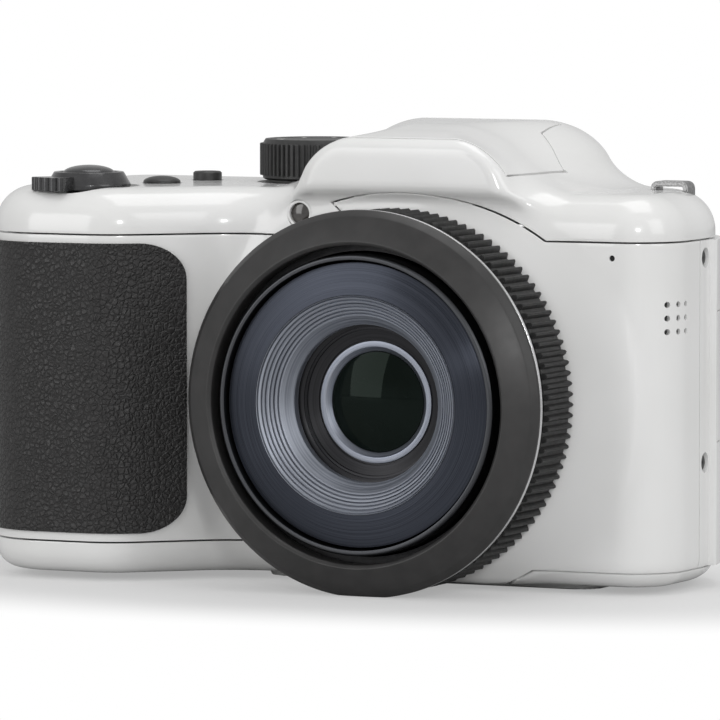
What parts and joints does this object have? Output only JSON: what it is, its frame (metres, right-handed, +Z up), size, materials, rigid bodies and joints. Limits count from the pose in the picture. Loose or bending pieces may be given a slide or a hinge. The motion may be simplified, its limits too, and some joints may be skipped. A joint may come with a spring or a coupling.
{
  "type": "bridge camera",
  "caption": "Digital bridge camera with a glossy moulded body, a deep leather-grained grip, a ringed zoom lens and a pop-up flash.",
  "frame": {"origin": "mouth of the tripod socket on the base, under the lens axis", "axes": "+X towards the camera's left hand end as seen from behind, -Y the way the lens looks, +Z up"},
  "size_m": [0.1222, 0.0658, 0.0758],
  "materials": {
    "white_shell": "gloss",
    "grip_skin": "leather grain",
    "ring_rubber": "satin",
    "satin_black": "satin",
    "gloss_black": "gloss",
    "bright_metal": "satin",
    "dark_metal": "turned",
    "grey_metal": "satin",
    "steel": "brushed",
    "lens_glass": "coated",
    "window": "gloss",
    "flash_clear": "clear",
    "reflector": "polished",
    "display": "gloss",
    "board": "matte",
    "cell_wrap": "gloss",
    "inner_plastic": "matte"
  },
  "bodies": {
    "body": {"top_cover": "white_shell", "front_shell": "white_shell", "rear_shell": "white_shell", "bottom_cover": "white_shell", "grip_cover": "grip_skin", "lens_bezel": "satin_black", "trim_ring": "bright_metal", "knurled_ring": "ring_rubber", "lens_chassis": "satin_black", "rear_group_cell": "inner_plastic", "rear_group_glass": "lens_glass", "image_sensor": "board", "zoom_motor": "steel", "screen_window": "window", "screen_panel": "display", "main_board": "board", "flash_capacitor": "cell_wrap", "key_board": "board", "deck_board": "board", "flash_hinge_pin": "steel", "focus_lamp": "window", "strap_lugs": "bright_metal", "microphone": "inner_plastic", "speaker": "inner_plastic", "flap_hinge_pin": "steel", "usb_port": "steel", "case_screws": "steel", "tripod_socket": "steel", "door_hinge_pin": "steel", "battery_cells": "cell_wrap", "battery_holder": "inner_plastic", "card_slot": "steel", "memory_card": "inner_plastic"},
    "lens_ring": {"cam_ring": "inner_plastic"},
    "barrel": {"outer_barrel": "bright_metal"},
    "front_group": {"inner_barrel": "dark_metal", "lens_funnel": "grey_metal", "lens_cell": "satin_black", "front_element": "lens_glass"},
    "dial": {"mode_dial": "gloss_black"},
    "lever": {"zoom_lever": "dark_metal"},
    "shutter": {"shutter_button": "gloss_black"},
    "burst": {"burst_button": "gloss_black"},
    "power": {"power_button": "gloss_black"},
    "flash": {"flash_lid": "white_shell", "flash_reflector": "reflector", "flash_window": "flash_clear", "flash_tube": "flash_clear"},
    "cell_door": {"battery_door": "white_shell", "battery_contacts": "steel"},
    "latch": {"door_latch": "gloss_black"},
    "flap": {"port_flap": "white_shell"},
    "menu": {"menu_button": "gloss_black"},
    "playback": {"playback_button": "gloss_black"},
    "display": {"display_button": "gloss_black"},
    "delete": {"delete_button": "gloss_black"},
    "record": {"record_button": "gloss_black"},
    "rocker": {"pad_plate": "inner_plastic"},
    "pad": {"four_way_pad": "gloss_black"},
    "set": {"set_button": "gloss_black"}
  },
  "joints": [
    {"name": "cam_turn", "type": "hinge", "parent": "body", "child": "lens_ring", "pos_m": [0, -0.022, 0.031], "axis": [0, 1, 0], "range_deg": [0, 60]},
    {"name": "barrel_slide", "type": "slide", "parent": "body", "child": "barrel", "axis": [0, -1, 0], "range_m": [0, 0.02]},
    {"name": "front_group_slide", "type": "slide", "parent": "barrel", "child": "front_group", "axis": [0, -1, 0], "range_m": [0, 0.014]},
    {"name": "dial_turn", "type": "hinge", "parent": "body", "child": "dial", "pos_m": [-0.0285, 0.0035, 0.068], "axis": [0, 0, 1], "continuous": true},
    {"name": "lever_turn", "type": "hinge", "parent": "body", "child": "lever", "pos_m": [-0.0565, -0.025, 0.065], "axis": [0, 0, 1], "range_deg": [-20, 20], "stiffness_Nm_per_rad": 0.03},
    {"name": "shutter_press", "type": "slide", "parent": "body", "child": "shutter", "axis": [0, 0, -1], "range_m": [0, 0.0008], "stiffness_N_per_m": 350},
    {"name": "burst_press", "type": "slide", "parent": "body", "child": "burst", "axis": [0, 0, -1], "range_m": [0, 0.0005], "stiffness_N_per_m": 400},
    {"name": "power_press", "type": "slide", "parent": "body", "child": "power", "axis": [0, 0, -1], "range_m": [0, 0.0005], "stiffness_N_per_m": 400},
    {"name": "flash_lift", "type": "hinge", "parent": "body", "child": "flash", "pos_m": [0, 0.006, 0.07288], "axis": [-1, 0, 0], "range_deg": [0, 38]},
    {"name": "cell_door_swing", "type": "hinge", "parent": "body", "child": "cell_door", "pos_m": [-0.05315, 0.0099, 0.0021], "axis": [1, 0, 0], "range_deg": [0, 90]},
    {"name": "latch_slide", "type": "slide", "parent": "cell_door", "child": "latch", "axis": [1, 0, 0], "range_m": [0, 0.0035]},
    {"name": "flap_swing", "type": "hinge", "parent": "body", "child": "flap", "pos_m": [0.04428, 0.001, 0.0345], "axis": [0, 0, -1], "range_deg": [0, 80]},
    {"name": "menu_press", "type": "slide", "parent": "body", "child": "menu", "axis": [0, -1, 0], "range_m": [0, 0.0004], "stiffness_N_per_m": 400},
    {"name": "playback_press", "type": "slide", "parent": "body", "child": "playback", "axis": [0, -1, 0], "range_m": [0, 0.0004], "stiffness_N_per_m": 400},
    {"name": "display_press", "type": "slide", "parent": "body", "child": "display", "axis": [0, -1, 0], "range_m": [0, 0.0004], "stiffness_N_per_m": 400},
    {"name": "delete_press", "type": "slide", "parent": "body", "child": "delete", "axis": [0, -1, 0], "range_m": [0, 0.0004], "stiffness_N_per_m": 400},
    {"name": "record_press", "type": "slide", "parent": "body", "child": "record", "axis": [0, -1, 0], "range_m": [0, 0.0004], "stiffness_N_per_m": 400},
    {"name": "pad_up_down", "type": "hinge", "parent": "body", "child": "rocker", "pos_m": [-0.0512, 0.0172, 0.0278], "axis": [1, 0, 0], "range_deg": [-2.5, 2.5], "stiffness_Nm_per_rad": 0.2},
    {"name": "pad_left_right", "type": "hinge", "parent": "rocker", "child": "pad", "pos_m": [-0.0512, 0.0172, 0.0278], "axis": [0, 0, 1], "range_deg": [-2.5, 2.5], "stiffness_Nm_per_rad": 0.2},
    {"name": "set_press", "type": "slide", "parent": "body", "child": "set", "axis": [0, -1, 0], "range_m": [0, 0.0003], "stiffness_N_per_m": 400}
  ],
  "couplings": [
    {"joint": "cam_turn", "follows": "barrel_slide", "rad_per_m": 52.36},
    {"joint": "front_group_slide", "follows": "barrel_slide", "ratio": 0.7}
  ]
}
